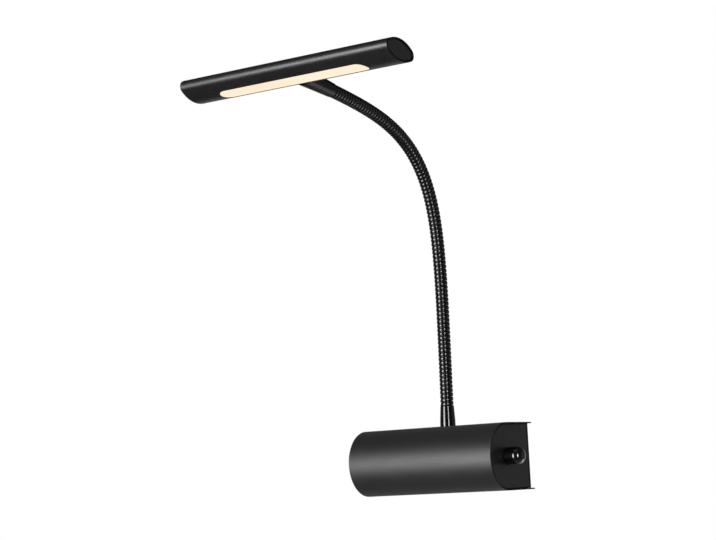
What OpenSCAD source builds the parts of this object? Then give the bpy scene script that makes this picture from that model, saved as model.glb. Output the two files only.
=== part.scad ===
// Flexible wall light: a sheet-metal base box on the wall with a rotary
// dimmer on its right end, a ribbed gooseneck and a slim oval LED head.
// Millimetres. +Z is up, the wall is the plane y = 0, the room is at -Y and
// the origin is the middle of the wall bracket's back face.

/* [Base box] */
// Length of the base box along the wall
base_w = 152; // [148:1:180]
// Height of the base box
base_h = 60; // [58:1:64]
// Depth of the base box, from the wall to its round front
base_d = 72.6; // [70:0.2:80]
// Sheet thickness of the cover and its end plates
sheet = 1.2; // [1:0.1:1.4]
// How far the end plates sit inside the ends of the cover
plate_inset = 1; // [0.6:0.1:1.5]
// Gap between the rear edge of an end plate and the wall
plate_gap = 3.9; // [3:0.1:8]

/* [Wall bracket] */
// Length of the wall bracket
bracket_w = 120; // [116:1:122]
// Distance between the two wall screw slots
slot_spacing = 90; // [84:1:96]
// Width of a wall screw slot
slot_w = 4.5; // [4:0.1:5]
// Length of a wall screw slot
slot_l = 12; // [8:1:14]
// Inner diameter of the rubber bush for the supply cable
cable_d = 8; // [6:0.5:9]

/* [Dimmer] */
// Diameter of the dimmer knob
knob_d = 16; // [15.6:0.1:18]
// Height of the dimmer knob above its lower rim
knob_h = 15.8; // [15:0.1:18]
// Radius of the dimmer knob's rounded front
knob_nose = 7.6; // [5:0.1:7.6]

/* [Neck] */
// Distance from the wall to the neck's centre line at its foot
neck_y = 20.4; // [19:0.2:24]
// Height of the smooth sleeve at the neck's foot
ferrule_h = 19.5; // [16:0.5:24]
// Distance from one rib of the neck to the next
rib_pitch = 3.8; // [3.6:0.05:4]
// Diameter over the ribs of the neck
neck_d = 12; // [11.8:0.1:12.4]
// Lean of the neck at its foot, away from the vertical
neck_start = -1.2; // [-4:0.2:4]
// Lean of the neck where it meets the head
neck_end = 80.6; // [60:0.2:90]
// Place along the neck where it bends the most
bend_at = 228; // [200:1:240]
// Length that the bend is spread over
bend_width = 32.4; // [30:0.1:40]

/* [Head] */
// Length of the head
head_w = 219; // [200:0.5:240]
// Depth of the oval head
head_d = 38.9; // [38.2:0.1:40]
// Height of the oval head
head_h = 19; // [18:0.1:19.2]
// Wall thickness of the head
head_wall = 1.3; // [1.1:0.1:1.4]
// Length of the window for the diffuser
window_l = 154.9; // [154:0.1:170]
// Width of the window for the diffuser
window_w = 16.9; // [16:0.1:17.6]
// Distance from the end of the ribs to the middle of the head
head_reach = 53.8; // [50:0.2:60]
// Number of LEDs in the head
led_count = 24; // [12:1:30]

/* [Hidden] */
$fn = 96;

// base
half_h = base_h / 2;
front_y = -(base_d - half_h);     // axis of the round front
in_h = half_h - sheet;            // inner half height
plate_x = base_w / 2 - plate_inset; // outer face of the right end plate
lip = 0.5;                        // cover's rear edge to the wall
br_t = 1.5;                       // bracket thickness
br_h = in_h - 0.2;                // bracket half height over the flanges
br_flange = 10;
screw_x = 50;
screw_y = -6;
bush_r = cable_d / 2;
cable_z = 10;

// dimmer
dim_r = 3.5;                      // threaded bush of the dimmer
shaft_r = 3;
shaft_in = 9.6;                   // shaft inside the knob
knob_x0 = base_w / 2 + 0.4;

// neck
n_joint = 16;
ribs = 6;
link = rib_pitch * ribs;
rib_r = neck_d / 2;
groove_r = rib_r - 0.55;
bore_r = 2.6;
ball_r = 4.85;
cup_r = 5.15;
cup_z = 0.8;                      // rim of the cup above its joint
shoulder_z = 1.6;                 // shoulder of the link below its joint
foot = [0, -neck_y, half_h];

function soft(u) = 1 / (1 + exp(-(u - bend_at) / bend_width));
function lean(i) = neck_start + (neck_end - neck_start) * (soft(i * link) - soft(0)) / (soft(n_joint * link) - soft(0));
function dir(a) = [0, -sin(a), cos(a)];
function joint(i) = i == 1 ? foot + dir(neck_start) * (ferrule_h + link / 2)
                           : joint(i - 1) + dir(lean(i - 1)) * link;
neck_top = joint(n_joint) + dir(neck_end) * link / 2;
head_at = neck_top + dir(neck_end) * (rib_pitch + head_reach);
head_tilt = neck_end - 90;

// head: an oval of four arcs, about the head's own X axis
ha = head_d / 2;
hb = head_h / 2;
nose_r = 5.5;
flat_r = (ha * ha + hb * hb - 2 * ha * nose_r) / (2 * (hb - nose_r));
cap_in = 0.9;                     // caps sit this deep in the ends

BLACK = [0.035, 0.035, 0.038];
GLOSS = [0.02, 0.02, 0.022];
STEEL = [0.62, 0.63, 0.65];
BRASS = [0.78, 0.62, 0.3];
WHITE = [0.9, 0.9, 0.88];
OPAL = [1, 0.94, 0.83];
GREEN = [0.1, 0.35, 0.2];

// ---------- helpers ----------

// side outline of the base box, drawn as x = y and y = z
module base_outline(r, rear) {
    translate([front_y, 0]) circle(r = r);
    translate([front_y, -r]) square([-front_y - rear, 2 * r]);
}

// a shape drawn in the y-z plane, pulled along X from x0 to x1
module along_x(x0, x1) {
    translate([x0, 0, 0]) rotate([90, 0, 90]) linear_extrude(x1 - x0) children();
}

// four-arc oval, grown by g
module oval(g) {
    rn = nose_r + g;
    rf = flat_r + g;
    cn = ha - nose_r;
    cf = flat_r - hb;
    for (s = [-1, 1]) translate([s * cn, 0]) circle(r = rn);
    intersection() {
        translate([0, -cf]) circle(r = rf, $fn = 360);
        translate([0, cf]) circle(r = rf, $fn = 360);
        k = cn * flat_r / (flat_r - nose_r);
        square([2 * k, 2 * rf], center = true);
    }
}

module in_head() {
    translate(head_at) rotate([head_tilt, 0, 0]) children();
}

module at_joint(i, a) {
    translate(joint(i)) rotate([a, 0, 0]) children();
}

// countersunk screw, head face at z = 0, shank going up
module flat_screw(r, head, len) {
    cone = (head - r) * 0.83;
    difference() {
        cylinder(h = cone, r1 = head, r2 = r);
        for (a = [0, 90]) rotate([0, 0, a])
            translate([-head * 0.55, -0.3, -0.1]) cube([head * 1.1, 0.6, 0.7]);
    }
    translate([0, 0, cone]) cylinder(h = len - cone, r = r);
}

// pan-head screw with a cross slot, head above z = 0, shank going down
module pan_screw(r, head, hh, len) {
    difference() {
        cylinder(h = hh, r1 = head, r2 = head * 0.82);
        for (a = [0, 90]) rotate([0, 0, a])
            translate([-head * 0.6, -0.3, hh - 0.6]) cube([head * 1.2, 0.6, 1]);
    }
    translate([0, 0, -len]) cylinder(h = len, r = r);
}

// round lead through a list of points
module lead(pts, r) {
    for (i = [0 : len(pts) - 2]) {
        d = pts[i + 1] - pts[i];
        l = norm(d);
        translate(pts[i])
            rotate([0, acos(d[2] / l), atan2(d[1], d[0])]) cylinder(h = l, r = r);
        if (i > 0) translate(pts[i]) sphere(r = r * 1.05);
    }
}

// outline of the ribs from z0 to z1, with a groove at z = 0
function rib_pts(k) = [
    [groove_r, (k + 0.5) * rib_pitch - 1.5],
    [rib_r, (k + 0.5) * rib_pitch - 0.75],
    [rib_r, (k + 0.5) * rib_pitch + 0.75],
    [groove_r, (k + 0.5) * rib_pitch + 1.5]];

module ribbed(k0, k1, z0, z1) {
    intersection() {
        rotate_extrude() polygon(concat(
            [[0, k0 * rib_pitch - 0.1], [groove_r, k0 * rib_pitch - 0.1]],
            [for (k = [k0 : k1 - 1]) each rib_pts(k)],
            [[groove_r, k1 * rib_pitch + 0.1], [0, k1 * rib_pitch + 0.1]]));
        translate([0, 0, z0]) cylinder(h = z1 - z0, r = rib_r + 5);
    }
}

// one link of the neck: cup at its foot, ribs, ball at its head
module neck_link(i) {
    color(BLACK) at_joint(i, lean(i)) difference() {
        union() {
            ribbed(0, ribs, cup_z, link - shoulder_z);
            translate([0, 0, link]) sphere(r = ball_r);
        }
        sphere(r = cup_r);
        translate([0, 0, -1]) cylinder(h = link + 12, r = bore_r);
    }
}

// ---------- base ----------

module base_shell() {
    color(BLACK) difference() {
        along_x(-base_w / 2, base_w / 2) base_outline(half_h, lip);
        along_x(-base_w / 2 - 1, base_w / 2 + 1) base_outline(in_h, -1);
        translate([0, -neck_y, 0]) cylinder(h = half_h + 5, r = 5.1);
        for (s = [-1, 1]) translate([s * screw_x, screw_y, -half_h]) {
            translate([0, 0, -0.01]) cylinder(h = sheet + 0.02, r1 = 3.05, r2 = 3.05 - sheet);
            cylinder(h = sheet + 1, r = 1.75);
        }
    }
}

// D-shaped plate with a stepped rim, a flange folded in at its rear edge and
// two weld tabs; drawn for the right end, outer face at x = plate_x
module end_plate(hole) {
    r = in_h - 0.1;
    x1 = plate_x;
    x0 = plate_x - sheet;
    bend = 2;
    difference() {
        union() {
            along_x(x0, x1 - 0.5) base_outline(r, plate_gap + bend);
            along_x(x0, x1) base_outline(r - 0.6, plate_gap + bend);
        }
        if (hole) translate([x0 - 1, front_y, 0]) rotate([0, 90, 0]) cylinder(h = sheet + 2, r = dim_r + 0.1);
    }
    // rounded fold and flange
    translate([0, 0, -r]) linear_extrude(2 * r) {
        translate([x1 - bend, -plate_gap - bend]) intersection() {
            difference() { circle(r = bend); circle(r = bend - sheet); }
            translate([0, 0]) square(bend + 1);
        }
        translate([x1 - 9, -plate_gap - sheet]) square([9 - bend, sheet]);
    }
    // weld tabs against the cover
    for (s = [-1, 1]) translate([x0 - 8, front_y + 4, s > 0 ? in_h - 0.05 - sheet : -in_h + 0.05])
        cube([8.1, 14, sheet]);
}

module end_plate_right() { color(BLACK) end_plate(true); }
module end_plate_left() { color(BLACK) mirror([1, 0, 0]) end_plate(false); }

module wall_bracket() {
    color(STEEL) difference() {
        union() {
            translate([-bracket_w / 2, -br_t, -br_h]) cube([bracket_w, br_t, 2 * br_h]);
            for (s = [-1, 1]) translate([-bracket_w / 2, -br_flange, s > 0 ? br_h - br_t : -br_h])
                cube([bracket_w, br_flange, br_t]);
        }
        // wall screw slots
        for (s = [-1, 1]) translate([s * slot_spacing / 2, 1, 0]) rotate([90, 0, 0])
            linear_extrude(br_t + 2) {
                for (e = [-1, 1]) translate([e * (slot_l - slot_w) / 2, 0]) circle(r = slot_w / 2);
                square([slot_l - slot_w, slot_w], center = true);
            }
        // cable hole
        translate([0, 1, cable_z]) rotate([90, 0, 0]) cylinder(h = br_t + 2, r = bush_r + 3);
        // cover screw holes in the lower flange
        for (s = [-1, 1]) translate([s * screw_x, screw_y, -br_h - 1]) cylinder(h = br_t + 2, r = 1.55);
        // holes for the earth, driver and terminal screws
        translate([-22, 1, 14]) rotate([90, 0, 0]) cylinder(h = br_t + 2, r = 2.05);
        for (p = [[-38.5, -17], [38.5, -17], [43, 13.5]]) translate([p[0], 1, p[1]]) rotate([90, 0, 0])
            cylinder(h = br_t + 2, r = 1.55);
    }
}

module cover_screws() {
    color(STEEL) for (s = [-1, 1]) translate([s * screw_x, screw_y, -half_h + 0.05])
        flat_screw(1.5, 2.95, 6);
}

module cable_grommet() {
    color(BLACK) translate([0, 0, cable_z]) rotate([90, 0, 0]) difference() {
        union() {
            cylinder(h = br_t, r = bush_r + 2.95);
            translate([0, 0, br_t]) cylinder(h = 2, r = bush_r + 4.5);
            translate([0, 0, br_t + 2]) cylinder(h = 1.5, r1 = bush_r + 2.5, r2 = bush_r + 1.5);
        }
        translate([0, 0, -1]) cylinder(h = 10, r = bush_r);
    }
}

module earth_screw() {
    color(BRASS) translate([-22, -br_t, 14]) rotate([90, 0, 0]) {
        pan_screw(2, 4, 2.4, br_t);
    }
}

module terminal_block() {
    color(WHITE) difference() {
        union() {
            translate([15, -br_t - 15, 7]) cube([24, 15, 13]);
            translate([38.9, -br_t - 2, 9.5]) cube([8.1, 2, 8]);
        }
        translate([43, 0, 13.5]) rotate([90, 0, 0]) cylinder(h = br_t + 6, r = 1.6);
        for (i = [0 : 2]) translate([19 + 8 * i, 0, 0]) {
            translate([0, -br_t - 6, 6]) cylinder(h = 15, r = 1.7);
            translate([0, -br_t - 16, 10.5]) rotate([-90, 0, 0]) cylinder(h = 7, r = 1.9);
            translate([0, -br_t - 16, 16.5]) rotate([-90, 0, 0]) cylinder(h = 7, r = 1.9);
        }
    }
}

module terminal_screws() {
    color(BRASS) for (i = [0 : 2], z = [10.5, 16.5]) translate([19 + 8 * i, -br_t - 9, z]) rotate([90, 0, 0])
        difference() {
            cylinder(h = 4.8, r = 1.75);
            translate([-2, -0.25, 4.2]) cube([4, 0.5, 1]);
        }
}

drv = [-34, -br_t - 22, -26.2];       // low corner of the driver box
drv_size = [68, 22, 22];

module led_driver() {
    color(WHITE) difference() {
        union() {
            translate(drv) cube(drv_size);
            for (s = [-1, 1]) translate([s > 0 ? 33 : -43, -br_t - 2, -22]) cube([10, 2, 10]);
            translate([drv[0] + 6, drv[1] - 0.6, drv[2] + 4]) cube([drv_size[0] - 12, 0.8, drv_size[2] - 8]);
        }
        for (s = [-1, 1]) translate([s * 38.5, 0, -17]) rotate([90, 0, 0]) cylinder(h = br_t + 6, r = 1.6);
    }
}

module bracket_screws() {
    color(STEEL) for (p = [[-38.5, -17], [38.5, -17], [43, 13.5]])
        translate([p[0], -br_t - 2, p[1]]) rotate([90, 0, 0]) pan_screw(1.5, 2.8, 1.8, br_t + 2);
}

module driver_lead() {
    color(WHITE) lead([[-12, -14, drv[2] + drv_size[2]], [-12, -14, 5], [0, -neck_y, 17], [0, -neck_y, 26]], 1.5);
}

module dimmer_lead() {
    color(WHITE) lead([[plate_x - sheet - 11.5, front_y, -4], [54, front_y, -4], [54, -16, -4], [54, -16, -14], [drv[0] + drv_size[0], -16, -14]], 1.2);
}

// ---------- dimmer ----------

module on_dimmer_axis(x) {
    translate([x, front_y, 0]) rotate([0, 90, 0]) children();
}

module dimmer_body() {
    color(GREEN) difference() {
        union() {
            translate([plate_x - sheet - 11.5, front_y - 8.5, -8.5]) cube([11.5, 17, 17]);
            on_dimmer_axis(plate_x - sheet) cylinder(h = sheet + 4.8, r = dim_r);
        }
        on_dimmer_axis(plate_x - sheet - 9) cylinder(h = 30, r = shaft_r + 0.05);
    }
}

module dimmer_washer() {
    color(STEEL) on_dimmer_axis(plate_x) difference() {
        cylinder(h = 0.7, r = 5.6);
        translate([0, 0, -1]) cylinder(h = 3, r = dim_r + 0.05);
    }
}

module dimmer_nut() {
    color(STEEL) on_dimmer_axis(plate_x + 0.7) difference() {
        cylinder(h = 2, r = 5.75, $fn = 6);
        translate([0, 0, -1]) cylinder(h = 4, r = dim_r + 0.02);
    }
}

module dimmer_shaft() {
    color(STEEL) on_dimmer_axis(plate_x - sheet - 8.6) cylinder(h = knob_x0 + shaft_in - (plate_x - sheet - 8.6), r = shaft_r);
}

// round knob with a rounded front, hollow at its foot over the nut
module dimmer_knob() {
    kr = knob_d / 2;
    color(GLOSS) on_dimmer_axis(knob_x0) difference() {
        rotate_extrude() {
            square([kr, knob_h - knob_nose]);
            square([kr - knob_nose, knob_h]);
            translate([kr - knob_nose, knob_h - knob_nose]) intersection() {
                circle(r = knob_nose, $fn = 128);
                square(knob_nose + 1);
            }
        }
        translate([0, 0, -1]) cylinder(h = 4.9, r = 6.1);
        translate([0, 0, -1]) cylinder(h = shaft_in + 1, r = shaft_r);
    }
}

// ---------- neck ----------

module at_foot() {
    translate(foot) rotate([neck_start, 0, 0]) children();
}

module neck_ferrule() {
    h = ferrule_h;
    color(GLOSS) translate(foot) difference() {
        union() {
            rotate([neck_start, 0, 0]) intersection() {
                rotate_extrude() polygon([[0, -2], [7.1, -2], [7.1, 0], [7, h * 0.3], [6.65, h * 0.6], [6.25, h - 1], [6, h], [0, h]]);
                rotate([-neck_start, 0, 0]) cylinder(h = h + 5, r = 12);
            }
            translate([0, 0, -sheet - 8]) cylinder(h = sheet + 8.5, r = 5);
        }
        rotate([neck_start, 0, 0]) translate([0, 0, 8]) cylinder(h = h, r = groove_r + 0.02);
        translate([0, 0, -30]) cylinder(h = 60, r = bore_r);
    }
}

module neck_washer() {
    color(STEEL) translate([0, -neck_y, in_h - 1]) difference() {
        cylinder(h = 1, r = 8);
        translate([0, 0, -1]) cylinder(h = 3, r = 5.1);
    }
}

module neck_nut() {
    color(BRASS) translate([0, -neck_y, in_h - 6]) difference() {
        cylinder(h = 5, r = 7.9, $fn = 6);
        translate([0, 0, -1]) cylinder(h = 7, r = 5.05);
    }
}

// lowest ribs of the neck, held in the sleeve, with the first ball
module neck_root() {
    color(BLACK) at_joint(1, neck_start) difference() {
        union() {
            ribbed(-3, 0, -link / 2, -shoulder_z);
            translate([0, 0, -link / 2 - ferrule_h + 8]) cylinder(h = ferrule_h - 7.9, r = groove_r);
            sphere(r = ball_r);
        }
        translate([0, 0, -40]) cylinder(h = 60, r = bore_r);
    }
}

module neck_link_01() { neck_link(1); }
module neck_link_02() { neck_link(2); }
module neck_link_03() { neck_link(3); }
module neck_link_04() { neck_link(4); }
module neck_link_05() { neck_link(5); }
module neck_link_06() { neck_link(6); }
module neck_link_07() { neck_link(7); }
module neck_link_08() { neck_link(8); }
module neck_link_09() { neck_link(9); }
module neck_link_10() { neck_link(10); }
module neck_link_11() { neck_link(11); }
module neck_link_12() { neck_link(12); }
module neck_link_13() { neck_link(13); }
module neck_link_14() { neck_link(14); }
module neck_link_15() { neck_link(15); }

// last ribs of the neck, held in the head's adapter
module neck_tip() {
    color(BLACK) at_joint(n_joint, neck_end) difference() {
        union() {
            ribbed(0, 4, cup_z, link / 2 + rib_pitch);
            translate([0, 0, link / 2 + rib_pitch - 0.1]) cylinder(h = 9.1, r = groove_r);
        }
        sphere(r = cup_r);
        translate([0, 0, -1]) cylinder(h = 60, r = bore_r);
    }
}

// ---------- head, drawn about its own axes: X along it, room at -Y ----------

module in_cone(y0) {
    translate([0, y0, 0]) rotate([90, 0, 0]) children();
}

module head_adapter() {
    color(BLACK) in_head() difference() {
        union() {
            difference() {
                in_cone(head_reach) {
                    cylinder(h = 0.8, r1 = 6, r2 = 6.4);
                    translate([0, 0, 0.8]) cylinder(h = head_reach - 14.8, r1 = 6.4, r2 = 8);
                }
                along_x(-20, 20) oval(0.03);
            }
            in_cone(ha + 4) cylinder(h = ha + 4 - 9.9, r = 3);
        }
        in_cone(head_reach + 1) cylinder(h = 10, r = groove_r + 0.02);
        in_cone(head_reach + 1) cylinder(h = head_reach, r = 1.6);
    }
}

module head_clamp_block() {
    color(STEEL) in_head() difference() {
        intersection() {
            along_x(-9, 9) oval(-head_wall - 0.05);
            translate([-10, 11.2, -10]) cube([20, 12, 20]);
        }
        in_cone(30) cylinder(h = 30, r = 3.05);
    }
}

module stadium(l, w) {
    for (s = [-1, 1]) translate([s * (l - w) / 2, 0]) circle(r = w / 2);
    square([l - w, w], center = true);
}

module head_housing() {
    color(BLACK) in_head() difference() {
        along_x(-head_w / 2, head_w / 2) oval(0);
        along_x(-head_w / 2 - 1, head_w / 2 + 1) oval(-head_wall);
        translate([0, 0, -20]) linear_extrude(20) stadium(window_l, window_w);
        in_cone(30) cylinder(h = 25, r = 3.1);
    }
}

// oval cap with a stepped rim and a short skirt, drawn for the right end
module head_cap() {
    x1 = head_w / 2 - cap_in;
    along_x(x1 - 1.5, x1 - 0.5) oval(-head_wall - 0.1);
    along_x(x1 - 1.4, x1) oval(-head_wall - 0.6);
    difference() {
        along_x(x1 - 6, x1 - 1.4) oval(-head_wall - 0.1);
        along_x(x1 - 7, x1 - 1.4) oval(-head_wall - 1.2);
    }
}

module head_cap_right() { color(BLACK) in_head() head_cap(); }
module head_cap_left() { color(BLACK) in_head() mirror([1, 0, 0]) head_cap(); }

// region between two arcs that follow the underside of the oval
module under_arc(r_out, r_in) {
    translate([0, flat_r - hb]) difference() {
        circle(r = r_out, $fn = 360);
        circle(r = r_in, $fn = 360);
        translate([-60, -10]) square([120, 60]);
    }
}

module diffuser() {
    color(OPAL) in_head() {
        // plug in the window, slightly below the surface of the housing
        intersection() {
            along_x(-120, 120) under_arc(flat_r - 0.3, flat_r - head_wall - 1.3);
            translate([0, 0, -30]) linear_extrude(40) stadium(window_l - 0.3, window_w - 0.3);
        }
        // rim behind the window
        intersection() {
            along_x(-120, 120) under_arc(flat_r - head_wall - 0.05, flat_r - head_wall - 1.3);
            translate([0, 0, -30]) linear_extrude(40) stadium(window_l + 4, window_w + 4);
        }
    }
}

module led_board() {
    color(WHITE) in_head() difference() {
        translate([-76, -7, -1]) cube([152, 14, 1.5]);
        for (s = [-1, 1]) translate([s * 68, 5, -2]) cylinder(h = 4, r = 1.3);
    }
}

module led_chips() {
    color(OPAL) in_head() for (i = [0 : led_count - 1])
        translate([(i - (led_count - 1) / 2) * 144 / led_count - 1.4, -1.4, -1.8]) cube([2.8, 2.8, 0.8]);
}

module board_carrier() {
    color(STEEL) in_head() difference() {
        intersection() {
            along_x(-78, 78) oval(-head_wall - 0.05);
            translate([-80, -9, 0.5]) cube([160, 18, 20]);
        }
        translate([-80, -6.5, 3]) cube([160, 13, 3]);
        for (s = [-1, 1]) translate([s * 68, 5, 0]) cylinder(h = 3.5, r = 1.05);
    }
}

module board_screws() {
    color(STEEL) in_head() for (s = [-1, 1]) translate([s * 68, 5, -1]) rotate([180, 0, 0])
        pan_screw(1, 1.9, 1.2, 3.6);
}

module head_lead() {
    color(WHITE) in_head() lead([[0, 30, 0], [0, 10, 0], [0, 8.1, -1.9], [0, 4.5, -1.9], [0, 4.5, -1]], 0.7);
}

base_shell();
end_plate_left();
end_plate_right();
wall_bracket();
cover_screws();
cable_grommet();
earth_screw();
terminal_block();
terminal_screws();
led_driver();
bracket_screws();
driver_lead();
dimmer_lead();
dimmer_body();
dimmer_washer();
dimmer_nut();
dimmer_shaft();
dimmer_knob();
neck_ferrule();
neck_washer();
neck_nut();
neck_root();
neck_link_01();
neck_link_02();
neck_link_03();
neck_link_04();
neck_link_05();
neck_link_06();
neck_link_07();
neck_link_08();
neck_link_09();
neck_link_10();
neck_link_11();
neck_link_12();
neck_link_13();
neck_link_14();
neck_link_15();
neck_tip();
head_adapter();
head_clamp_block();
head_housing();
head_cap_left();
head_cap_right();
diffuser();
led_board();
led_chips();
board_carrier();
board_screws();
head_lead();
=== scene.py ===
import math

import bmesh
import bpy
import numpy as np
from mathutils import Matrix, Vector


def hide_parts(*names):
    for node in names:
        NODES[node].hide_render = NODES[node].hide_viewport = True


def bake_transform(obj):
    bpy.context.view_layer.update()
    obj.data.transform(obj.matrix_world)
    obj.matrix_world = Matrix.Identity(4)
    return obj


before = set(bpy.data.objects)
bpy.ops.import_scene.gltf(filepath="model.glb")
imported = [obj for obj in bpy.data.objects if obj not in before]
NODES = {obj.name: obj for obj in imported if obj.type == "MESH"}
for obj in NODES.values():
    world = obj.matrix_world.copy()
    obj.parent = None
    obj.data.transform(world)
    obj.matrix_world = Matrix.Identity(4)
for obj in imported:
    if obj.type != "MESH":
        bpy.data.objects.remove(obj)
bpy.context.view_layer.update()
scene = bpy.context.scene

# ---------------------------------------------------------------- small helpers


def link_object(name, mesh):
    o = bpy.data.objects.new(name, mesh)
    scene.collection.objects.link(o)
    return o


def sock(node, *names):
    """The first input of the node that has one of these names."""
    for n in names:
        if n in node.inputs:
            return node.inputs[n]
    raise KeyError(names)


class Mat:
    """A node material under construction."""

    def __init__(self, name):
        self.m = bpy.data.materials.new(name)
        self.m.use_nodes = True
        self.t = self.m.node_tree
        self.t.nodes.clear()
        self.out = self.t.nodes.new("ShaderNodeOutputMaterial")
        self.b = self.t.nodes.new("ShaderNodeBsdfPrincipled")
        self.t.links.new(self.b.outputs[0], self.out.inputs["Surface"])
        self.coord = self.t.nodes.new("ShaderNodeTexCoord").outputs["Object"]

    def node(self, kind, **values):
        n = self.t.nodes.new(kind)
        for k, v in values.items():
            if hasattr(n, k):
                setattr(n, k, v)
            else:
                sock(n, k).default_value = v
        return n

    def link(self, a, b):
        self.t.links.new(a, b)

    def set(self, **values):
        names = {
            "color": ("Base Color",),
            "metallic": ("Metallic",),
            "roughness": ("Roughness",),
            "ior": ("IOR",),
            "specular": ("Specular IOR Level", "Specular"),
            "coat": ("Coat Weight",),
            "coat_roughness": ("Coat Roughness",),
            "sheen": ("Sheen Weight",),
            "emission": ("Emission Color",),
            "strength": ("Emission Strength",),
            "subsurface": ("Subsurface Weight",),
        }
        for k, v in values.items():
            sock(self.b, *names[k]).default_value = v
        return self

    def noise(self, scale, detail=3.0, rough=0.55, stretch=None, distortion=0.0):
        """Noise over the object, scale in features per metre; stretch squeezes it along an axis."""
        v = self.coord
        if stretch:
            mp = self.t.nodes.new("ShaderNodeMapping")
            mp.inputs["Scale"].default_value = stretch
            self.link(v, mp.inputs["Vector"])
            v = mp.outputs["Vector"]
        n = self.t.nodes.new("ShaderNodeTexNoise")
        n.inputs["Scale"].default_value = scale
        n.inputs["Detail"].default_value = detail
        n.inputs["Roughness"].default_value = rough
        n.inputs["Distortion"].default_value = distortion
        self.link(v, n.inputs["Vector"])
        return n.outputs["Fac"]

    def ramp(self, fac, stops):
        """Colour ramp from (position, colour) stops."""
        r = self.t.nodes.new("ShaderNodeValToRGB")
        e = r.color_ramp.elements
        while len(e) < len(stops):
            e.new(0.5)
        for el, (p, c) in zip(e, stops):
            el.position = p
            el.color = (*c, 1.0) if len(c) == 3 else c
        self.link(fac, r.inputs["Fac"])
        return r.outputs["Color"]

    def spread(self, fac, lo, hi, a=0.3, b=0.7):
        """fac from a..b mapped to lo..hi."""
        r = self.t.nodes.new("ShaderNodeMapRange")
        r.inputs["From Min"].default_value = a
        r.inputs["From Max"].default_value = b
        r.inputs["To Min"].default_value = lo
        r.inputs["To Max"].default_value = hi
        self.link(fac, r.inputs["Value"])
        return r.outputs["Result"]

    def bump(self, height, strength, distance, normal=None):
        n = self.t.nodes.new("ShaderNodeBump")
        n.inputs["Strength"].default_value = strength
        n.inputs["Distance"].default_value = distance
        self.link(height, n.inputs["Height"])
        if normal is not None:
            self.link(normal, n.inputs["Normal"])
        return n.outputs["Normal"]

    def bevel(self, radius, samples=4):
        n = self.t.nodes.new("ShaderNodeBevel")
        n.samples = samples
        n.inputs["Radius"].default_value = radius
        return n.outputs["Normal"]

    def color(self, out):
        self.link(out, self.b.inputs["Base Color"])
        return self

    def rough(self, out):
        self.link(out, self.b.inputs["Roughness"])
        return self

    def normal(self, out):
        self.link(out, self.b.inputs["Normal"])
        return self


# ---------------------------------------------------------------- materials


def powder_coat(name, base, rough, grain=0.10, edge=0.0004, tint=0.0, spec=0.5):
    """Powder-coated sheet: fine orange peel, faint clouding, slightly worn sheen."""
    m = Mat(name)
    cloud = m.noise(38, 4, 0.6)
    c0 = tuple(x * 0.88 for x in base)
    c1 = tuple(x * 1.14 for x in base)
    m.color(m.ramp(cloud, [(0.30, c0), (0.70, (c1[0] * (1 + tint), c1[1], c1[2] * (1 - tint)))]))
    m.rough(m.spread(m.noise(160, 3, 0.6), rough - 0.03, rough + 0.035))
    peel = m.noise(1500, 2, 0.5)
    m.normal(m.bump(peel, grain, 0.00006, m.bevel(edge)))
    m.set(specular=spec)
    return m


def gloss_black(name, base, rough, edge=0.0003, grain=0.03, spec=0.5):
    m = Mat(name)
    m.set(specular=spec)
    cloud = m.noise(60, 3, 0.6)
    m.color(m.ramp(cloud, [(0.30, tuple(x * 0.9 for x in base)), (0.70, tuple(x * 1.12 for x in base))]))
    m.rough(m.spread(m.noise(300, 4, 0.6), rough - 0.02, rough + 0.03))
    m.normal(m.bump(m.noise(700, 2, 0.5), grain, 0.00005, m.bevel(edge)))
    return m.m


def metal(name, base, rough, stretch=(1, 1, 1), grain=0.08, scale=900, edge=0.0002):
    m = Mat(name)
    m.set(metallic=1.0)
    fine = m.noise(scale, 3, 0.6, stretch)
    m.color(m.ramp(m.noise(120, 4, 0.6), [(0.25, tuple(x * 0.86 for x in base)), (0.75, base)]))
    m.rough(m.spread(fine, rough - 0.06, rough + 0.08))
    m.normal(m.bump(fine, grain, 0.00004, m.bevel(edge)))
    return m.m


def plastic(name, base, rough, grain=0.12, edge=0.0003, subsurface=0.0):
    m = Mat(name)
    m.color(m.ramp(m.noise(70, 3, 0.6), [(0.3, tuple(x * 0.94 for x in base)), (0.7, base)]))
    m.rough(m.spread(m.noise(400, 3, 0.6), rough - 0.04, rough + 0.05))
    m.normal(m.bump(m.noise(2400, 2, 0.5), grain, 0.00005, m.bevel(edge)))
    return m.m


def paint_shade_beyond(m, axis, at, base, width=0.00012, both=True):
    """Painted shade on cut edges and recessed rims past a coordinate along one axis: dull black, with no sheen.
    A negative width paints the shade on what lies below the coordinate."""
    sep = m.node("ShaderNodeSeparateXYZ")
    m.link(m.coord, sep.inputs[0])
    v = sep.outputs[axis]
    if both:
        ab = m.node("ShaderNodeMath", operation="ABSOLUTE")
        m.link(v, ab.inputs[0])
        v = ab.outputs[0]
    r = m.node("ShaderNodeMapRange")
    r.inputs["From Min"].default_value = at
    r.inputs["From Max"].default_value = at + width
    m.link(v, r.inputs["Value"])
    mixer = m.node("ShaderNodeMix", data_type="RGBA")
    colours = {x.name: x for x in mixer.inputs if x.type == "RGBA"}
    m.link(r.outputs["Result"], mixer.inputs[0])
    m.link(m.b.inputs["Base Color"].links[0].from_socket, colours["A"])
    colours["B"].default_value = (*base, 1)
    m.color([x for x in mixer.outputs if x.type == "RGBA"][0])
    # Metallic follows the painted shade, so these places stay black with no reflection whatever light falls on
    # them
    painted_shade_mask = r.outputs["Result"]
    if m.b.inputs["Metallic"].links:
        either = m.node("ShaderNodeMath", operation="MAXIMUM")
        m.link(m.b.inputs["Metallic"].links[0].from_socket, either.inputs[0])
        m.link(painted_shade_mask, either.inputs[1])
        painted_shade_mask = either.outputs[0]
    m.link(painted_shade_mask, m.b.inputs["Metallic"])
    return m


# painted shade: the cover's cut end edges past x = 75.85 mm are painted dull black
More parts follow.
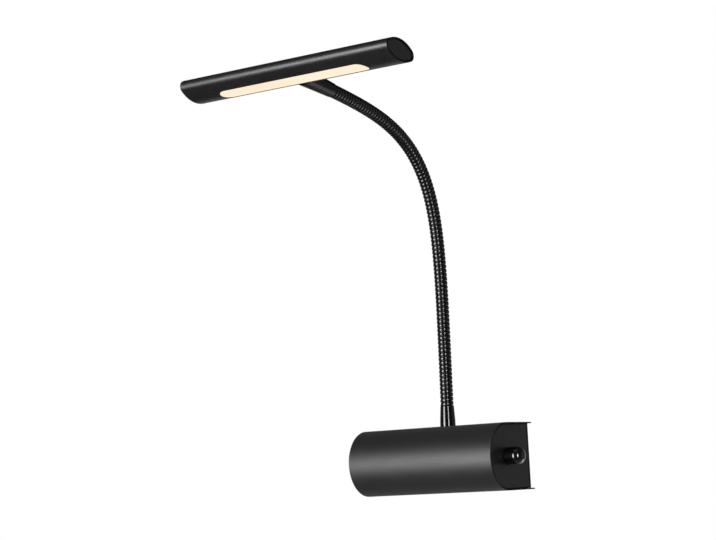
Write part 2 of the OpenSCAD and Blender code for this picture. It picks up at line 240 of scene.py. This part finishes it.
BODY = paint_shade_beyond(powder_coat("body_satin_black", (0.0080, 0.0080, 0.0087), 0.47), 0, 0.07585, (0.005, 0.005, 0.005)).set(sheen=0.04).m
# painted shade: the plate behind its face (its inward flange and folds) is painted dull black
PLATE = paint_shade_beyond(powder_coat("plate_satin_black", (0.0064, 0.0064, 0.0074), 0.38, spec=0.40), 0, 0.07484, (0.004, 0.004, 0.004), -0.0001)
PLATE = paint_shade_beyond(PLATE, 2, 0.0275, (0.004, 0.004, 0.004), 0.0006)  # painted shade in the gap along the cover, at the plate's top and bottom edge
PLATE = paint_shade_beyond(PLATE, 1, -0.0088, (0.003, 0.003, 0.003), 0.0014, both=False).m  # painted shade on the bend at the rear
# painted shade: the housing's cut end rim is painted dull black
HEAD = paint_shade_beyond(powder_coat("head_satin_black", (0.0078, 0.0078, 0.0084), 0.40, grain=0.03, spec=0.58), 0, 0.10938, (0.005, 0.005, 0.005), 0.0001).m
# painted shade: the part of each cap set inside the housing is painted dull black
CAP = paint_shade_beyond(powder_coat("cap_satin_black", (0.0075, 0.0075, 0.0085), 0.42, grain=0.03), 0, 0.10845, (0.004, 0.004, 0.004), -0.0001).m
ADAPTER = powder_coat("adapter_black", (0.004, 0.0036, 0.0034), 0.26, grain=0.06, spec=0.25).m
FERRULE = gloss_black("ferrule_gloss_black", (0.003, 0.003, 0.0033), 0.09)
KNOB = gloss_black("knob_gloss_black", (0.003, 0.003, 0.0033), 0.12, spec=0.8)
NECK = gloss_black("neck_black", (0.0030, 0.0030, 0.0033), 0.20, grain=0.05)
ZINC = metal("zinc_steel", (0.60, 0.61, 0.63), 0.34)
BLACK_SCREW = metal("black_oxide", (0.05, 0.05, 0.052), 0.40)
BRASS = metal("brass", (0.78, 0.58, 0.26), 0.30)
ALU = metal("mill_aluminium", (0.74, 0.75, 0.76), 0.36, stretch=(0.05, 1, 1))
WHITE = plastic("white_plastic", (0.82, 0.82, 0.80), 0.42)
DARK = plastic("dark_grey_plastic", (0.055, 0.058, 0.062), 0.45)
LEAD = plastic("lead_insulation", (0.78, 0.78, 0.76), 0.38)
RUBBER = plastic("black_rubber", (0.022, 0.022, 0.022), 0.62, grain=0.2)
BOARD = plastic("board_white", (0.86, 0.87, 0.86), 0.35)
PHOSPHOR = plastic("led_phosphor", (0.85, 0.66, 0.22), 0.30)


def opal(name):
    """Opal acrylic, lit warm white from behind: a little uneven along its length."""
    m = Mat(name)
    glow = m.noise(22, 2, 0.5, stretch=(1.0, 1.6, 1.6))
    c = m.ramp(glow, [(0.32, (0.965, 0.765, 0.565)), (0.55, (0.97, 0.80, 0.615)), (0.78, (0.98, 0.845, 0.68))])
    m.link(c, m.b.inputs["Emission Color"])
    m.set(color=(0.10, 0.09, 0.075, 1), roughness=0.40, strength=0.99)
    m.normal(m.bump(m.noise(900, 2, 0.5), 0.05, 0.00005))
    return m.m


OPAL = opal("opal_diffuser")

BY_NODE = {
    "base_shell": BODY, "end_plate_left": PLATE, "end_plate_right": PLATE,
    "wall_bracket": ZINC, "cover_screws": BLACK_SCREW, "cable_grommet": RUBBER,
    "earth_screw": BRASS, "terminal_block": WHITE, "terminal_screws": BRASS,
    "led_driver": WHITE, "bracket_screws": ZINC, "driver_lead": LEAD, "dimmer_lead": LEAD,
    "dimmer_body": DARK, "dimmer_washer": ZINC, "dimmer_nut": ZINC, "dimmer_shaft": ZINC,
    "dimmer_knob": KNOB, "neck_ferrule": FERRULE, "neck_washer": ZINC, "neck_nut": BRASS,
    "head_adapter": ADAPTER, "head_clamp_block": ALU, "head_housing": HEAD,
    "head_cap_left": CAP, "head_cap_right": CAP, "diffuser": OPAL, "led_board": BOARD,
    "led_chips": PHOSPHOR, "board_carrier": ALU, "board_screws": ZINC, "head_lead": LEAD,
}
for name, o in NODES.items():
    mat = BY_NODE.get(name, NECK)
    o.data.materials.clear()
    o.data.materials.append(mat)

# ---------------------------------------------------------------- the gooseneck

# The same rule as the CAD: sixteen joints, one link apart, from the sleeve to the head.
RIB = 0.0038
RIBS = 6
LINK = RIB * RIBS
START, END = -1.2, 80.6
BEND_AT, BEND_WIDTH = 228.0, 32.4
FOOT = np.array([0.0, -0.0204, 0.030])
FERRULE_H = 0.0195


def soft(i):
    return 1 / (1 + math.exp(-(i * LINK * 1000 - BEND_AT) / BEND_WIDTH))


def lean(i):
    return math.radians(START + (END - START) * (soft(i) - soft(0)) / (soft(16) - soft(0)))


def way(a):
    return np.array([0.0, -math.sin(a), math.cos(a)])


JOINT = [None, FOOT + way(lean(0)) * (FERRULE_H + LINK / 2)]
for i in range(2, 17):
    JOINT.append(JOINT[-1] + way(lean(i - 1)) * LINK)

RIDGE, GROOVE = 0.00600, 0.00520
PHASE = 0.0


def rib_radius(phase):
    """Outside of the winding: a rounded ridge and a narrow groove in each pitch."""
    x = (phase % 1.0) - 0.5
    return GROOVE + (RIDGE - GROOVE) * (1 - abs(2 * x) ** 2.4) ** 0.62


def neck_piece(i, around=48, rows=12):
    """Winding from the middle of link i-1 to the middle of link i, on a circular arc."""
    a0, a1 = lean(i - 1), lean(i)
    b = a1 - a0
    m0 = JOINT[i] - way(a0) * LINK / 2
    arc = LINK if abs(b) < 1e-6 else b * (LINK / 2) / math.tan(b / 2)

    last = RIBS + 1 if i == 16 else RIBS  # the last piece runs one rib on, straight, into the adapter

    def centre(s):
        if s > 1:
            return centre(1.0) + way(a1) * LINK * (s - 1)
        if abs(b) < 1e-6:
            return m0 + way(a0) * LINK * s
        a = a0 + b * s
        return m0 + (arc / b) * np.array([0.0, math.cos(a) - math.cos(a0), math.sin(a) - math.sin(a0)])

    verts, normals, grid = [], [], []
    span = last * rows
    side_axis = lambda a: np.array([0.0, math.cos(a), math.sin(a)])
    for k in range(-rows, span + 1):
        line = []
        for j in range(around):
            u = min(max(k / rows + j / around, 0.0), float(last))
            s = u / RIBS
            a = a0 + b * min(s, 1.0)
            th = 2 * math.pi * j / around
            r = rib_radius(u - j / around + PHASE)
            # the winding's own slope gives the normal
            h = 0.01
            dr = (rib_radius(u + h - j / around + PHASE) - rib_radius(u - h - j / around + PHASE)) / (2 * h * RIB)
            radial = math.cos(th) * np.array([1.0, 0.0, 0.0]) + math.sin(th) * side_axis(a)
            n = radial - way(a) * dr
            verts.append(centre(s) + radial * r)
            normals.append(n / np.linalg.norm(n))
            line.append(len(verts) - 1)
        grid.append(line)
    mesh = bpy.data.meshes.new(f"neck_winding_{i:02d}")
    bm = bmesh.new()
    layer = bm.verts.layers.float_vector.new("want")
    vs = [bm.verts.new(v) for v in verts]
    for v, n in zip(vs, normals):
        v[layer] = Vector(n)
    n_rows = len(grid)
    for k in range(n_rows - 1):
        for j in range(around):
            if j < around - 1:
                q = (grid[k][j], grid[k][j + 1], grid[k + 1][j + 1], grid[k + 1][j])
            else:  # one turn on, the winding has climbed one pitch
                k2, k3 = min(k + rows, n_rows - 1), min(k + rows + 1, n_rows - 1)
                q = (grid[k][j], grid[k2][0], grid[k3][0], grid[k + 1][j])
            corners = []
            for x in q:  # the ends of the winding close in triangles
                if all(np.linalg.norm(verts[x] - verts[y]) > 2e-6 for y in corners):
                    corners.append(x)
            if len(corners) >= 3:
                bm.faces.new([vs[x] for x in corners])
    bmesh.ops.remove_doubles(bm, verts=bm.verts, dist=2e-6)
    bmesh.ops.dissolve_degenerate(bm, edges=bm.edges, dist=2e-6)
    loose = [v for v in bm.verts if not v.link_faces]
    bmesh.ops.delete(bm, geom=loose, context="VERTS")
    for f in bm.faces:
        f.smooth = True
    bmesh.ops.recalc_face_normals(bm, faces=bm.faces)
    # an open tube: point its faces outwards
    f = max(bm.faces, key=lambda f: f.calc_area())
    c = np.array(f.calc_center_median())
    mid = min((centre(s) for s in np.linspace(0, last / RIBS, 29)), key=lambda p: np.linalg.norm(p - c))
    if np.dot(np.array(f.normal), c - mid) < 0:
        bmesh.ops.reverse_faces(bm, faces=bm.faces)
    bm.verts.ensure_lookup_table()
    want = [Vector(v[layer]) for v in bm.verts]
    bm.verts.layers.float_vector.remove(layer)
    bm.to_mesh(mesh)
    bm.free()
    mesh.normals_split_custom_set_from_vertices([tuple(n) for n in want])
    mesh.materials.append(NECK)
    o = link_object(f"neck_winding_{i:02d}", mesh)
    a = "base" if i == 1 else f"link_{i - 1:02d}"
    c = "head" if i == 16 else f"link_{i:02d}"
    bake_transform(o)
    nodes = [f"neck_link_{i:02d}"] if i < 16 else ["neck_tip"]
    if i == 1:
        nodes.append("neck_root")
    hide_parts(*nodes)
    return o


WINDING = [neck_piece(i) for i in range(1, 17)]

# ---------------------------------------------------------------- camera, light, floor

YAW, PITCH, ROLL = math.radians(35.5146), math.radians(6.2449), math.radians(-2.9079)
EYE = Vector((0.97635, -1.51720, -0.01744))
FOCAL = 1951.01  # in pixels of the 716-wide picture

f = Vector((-math.sin(YAW) * math.cos(PITCH), math.cos(YAW) * math.cos(PITCH), math.sin(PITCH)))
r0 = Vector((math.cos(YAW), math.sin(YAW), 0))
u0 = r0.cross(f)
r = r0 * math.cos(ROLL) + u0 * math.sin(ROLL)
u = u0 * math.cos(ROLL) - r0 * math.sin(ROLL)
cam = bpy.data.cameras.new("camera")
cam.sensor_fit = "HORIZONTAL"
cam.sensor_width = 36
cam.lens = FOCAL / 716 * 36
cam.clip_start = 0.05
cam.clip_end = 50
camera = bpy.data.objects.new("camera", cam)
camera.matrix_world = Matrix((
    (r.x, u.x, -f.x, EYE.x), (r.y, u.y, -f.y, EYE.y), (r.z, u.z, -f.z, EYE.z), (0, 0, 0, 1)))
scene.collection.objects.link(camera)
scene.camera = camera

scene.view_settings.view_transform = "Standard"
scene.view_settings.look = "None"
scene.view_settings.exposure = 0
scene.view_settings.gamma = 1

MIDDLE = Vector((0.0, -0.10, 0.16))


def softbox(name, azimuth, elevation, distance, width, height, power, color=(1, 1, 1), aim=MIDDLE, spread=180):
    """Area light; azimuth is measured from the room's side (-Y), positive to the right (+X)."""
    a, e = math.radians(azimuth), math.radians(elevation)
    d = Vector((math.sin(a) * math.cos(e), -math.cos(a) * math.cos(e), math.sin(e)))
    data = bpy.data.lights.new(name, "AREA")
    data.shape = "RECTANGLE"
    data.size, data.size_y = width, height
    data.energy = power
    data.color = color
    data.spread = math.radians(spread)
    o = bpy.data.objects.new(name, data)
    o.location = aim + d * distance
    o.rotation_euler = (-d).to_track_quat("-Z", "Y").to_euler()
    o.visible_camera = False
    scene.collection.objects.link(o)
    return o


softbox("key_left", -21, -2, 2.2, 1.00, 2.1, 14, spread=60)
softbox("key_right", 50, 0, 2.2, 0.36, 1.6, 4.2, spread=60)
softbox("side_panel", 130, 2, 2.0, 2.2, 2.0, 2.5)
softbox("low_back", 172, -32, 2.0, 0.8, 0.6, 2.4)
softbox("top", 25, 66, 2.2, 1.2, 1.0, 1.2)
wash = softbox("floor_wash", 180, 0, 2.0, 1.5, 1.5, 17, spread=110)  # the floor behind, lit from above
wash.location = (0.7, 1.7, 0.1)
wash.rotation_euler = (0, 0, 0)

world = bpy.data.worlds.new("studio")
scene.world = world
world.use_nodes = True
wt = world.node_tree
wt.nodes.clear()
wo = wt.nodes.new("ShaderNodeOutputWorld")
mix = wt.nodes.new("ShaderNodeMixShader")
path = wt.nodes.new("ShaderNodeLightPath")
dim = wt.nodes.new("ShaderNodeBackground")
# the room: pale below the horizon, dark above it
way_out = wt.nodes.new("ShaderNodeTexCoord")
parts = wt.nodes.new("ShaderNodeSeparateXYZ")
height = wt.nodes.new("ShaderNodeMapRange")
height.inputs["From Min"].default_value = -1
height.inputs["From Max"].default_value = 1
shade = wt.nodes.new("ShaderNodeValToRGB")
stops = [(0.0, 0.12), (0.36, 0.13), (0.50, 0.05), (0.60, 0.02), (1.0, 0.04)]
while len(shade.color_ramp.elements) < len(stops):
    shade.color_ramp.elements.new(0.5)
for el, (p, g) in zip(shade.color_ramp.elements, stops):
    el.position = p
    el.color = (g, g, g, 1)
wt.links.new(way_out.outputs["Generated"], parts.inputs[0])
wt.links.new(parts.outputs["Z"], height.inputs["Value"])
wt.links.new(height.outputs["Result"], shade.inputs["Fac"])
# a pale backdrop behind the wall light, on the far side from the camera
facing = wt.nodes.new("ShaderNodeVectorMath")
facing.operation = "DOT_PRODUCT"
facing.inputs[1].default_value = (-math.sin(YAW), math.cos(YAW), 0.0)
glow = wt.nodes.new("ShaderNodeMapRange")
glow.interpolation_type = "SMOOTHSTEP"
glow.inputs["From Min"].default_value = 0.35
glow.inputs["From Max"].default_value = 1.0
glow.inputs["To Max"].default_value = 0.55
low = wt.nodes.new("ShaderNodeMapRange")  # it ends not far above the horizon
low.interpolation_type = "SMOOTHSTEP"
low.inputs["From Min"].default_value = 0.05
low.inputs["From Max"].default_value = 0.45
low.inputs["To Min"].default_value = 1.0
low.inputs["To Max"].default_value = 0.0
cut = wt.nodes.new("ShaderNodeMath")
cut.operation = "MULTIPLY"
both = wt.nodes.new("ShaderNodeVectorMath")
both.operation = "ADD"
wt.links.new(way_out.outputs["Generated"], facing.inputs[0])
wt.links.new(facing.outputs["Value"], glow.inputs["Value"])
wt.links.new(shade.outputs["Color"], both.inputs[0])
wt.links.new(parts.outputs["Z"], low.inputs["Value"])
wt.links.new(glow.outputs["Result"], cut.inputs[0])
wt.links.new(low.outputs["Result"], cut.inputs[1])
wt.links.new(cut.outputs[0], both.inputs[1])
wt.links.new(both.outputs["Vector"], dim.inputs["Color"])
dim.inputs["Strength"].default_value = 1.0
white = wt.nodes.new("ShaderNodeBackground")
white.inputs["Color"].default_value = (1, 1, 1, 1)
white.inputs["Strength"].default_value = 1.0
wt.links.new(path.outputs["Is Camera Ray"], mix.inputs["Fac"])
wt.links.new(dim.outputs[0], mix.inputs[1])
wt.links.new(white.outputs[0], mix.inputs[2])
wt.links.new(mix.outputs[0], wo.inputs["Surface"])

fm = Mat("floor_pale")
pale = fm.ramp(fm.noise(3, 3, 0.5), [(0.3, (0.815, 0.815, 0.81)), (0.7, (0.84, 0.84, 0.835))])
fm.color(pale)
fm.set(roughness=0.9)
# like the backdrop, it looks evenly pale from any side, whatever light falls on it
seen = fm.node("ShaderNodeEmission")
fm.link(pale, seen.inputs["Color"])
ray = fm.node("ShaderNodeLightPath")
either = fm.node("ShaderNodeMixShader")
fm.link(ray.outputs["Is Camera Ray"], either.inputs[0])
fm.link(fm.b.outputs[0], either.inputs[1])
fm.link(seen.outputs[0], either.inputs[2])
fm.link(either.outputs[0], fm.out.inputs["Surface"])
floor_mesh = bpy.data.meshes.new("floor")
bm = bmesh.new()
bmesh.ops.create_grid(bm, x_segments=12, y_segments=12, size=4.0)
bm.to_mesh(floor_mesh)
bm.free()
floor_mesh.materials.append(fm.m)
floor = link_object("floor", floor_mesh)
floor.location = (0, -0.8, -1.10)
